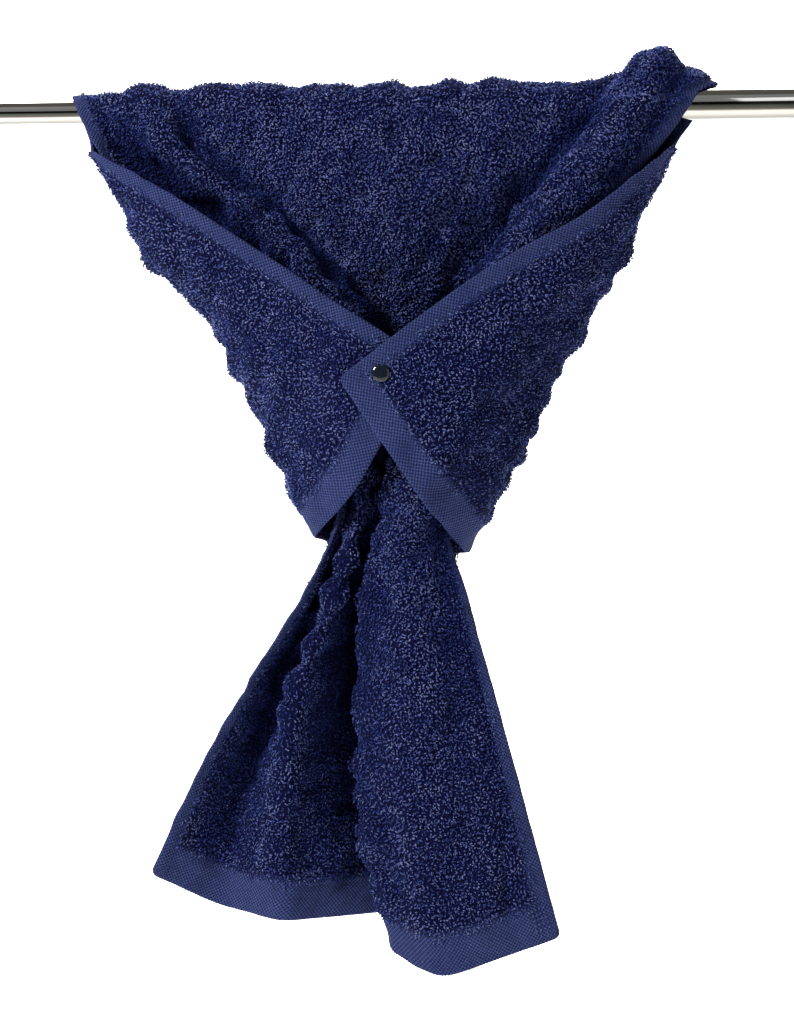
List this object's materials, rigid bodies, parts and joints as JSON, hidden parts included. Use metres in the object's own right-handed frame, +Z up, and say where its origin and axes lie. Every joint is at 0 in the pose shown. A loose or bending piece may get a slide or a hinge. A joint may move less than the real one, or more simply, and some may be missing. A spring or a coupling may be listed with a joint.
{
  "type": "hand towel on a towel rail",
  "caption": "Navy terry hand towel hung over a chrome telescopic towel rail, its back corners brought round to the front and snapped together.",
  "frame": {"origin": "centre of the flat left end face of the rail, on the rail's axis", "axes": "+X along the rail towards its wide tube, -Y towards the side the towel faces, +Z up"},
  "size_m": [0.66, 0.1413, 0.6372],
  "materials": {
    "terry": "looped cotton pile with flat woven hems",
    "chrome": "polished",
    "snap": "moulded, glossy"
  },
  "bodies": {
    "root": {"towel": "terry", "rail_narrow_tube": "chrome", "rail_wide_tube": "chrome", "snap_front_cap": "snap", "snap_socket": "snap", "snap_stud": "snap", "snap_back_cap": "snap"}
  },
  "joints": []
}
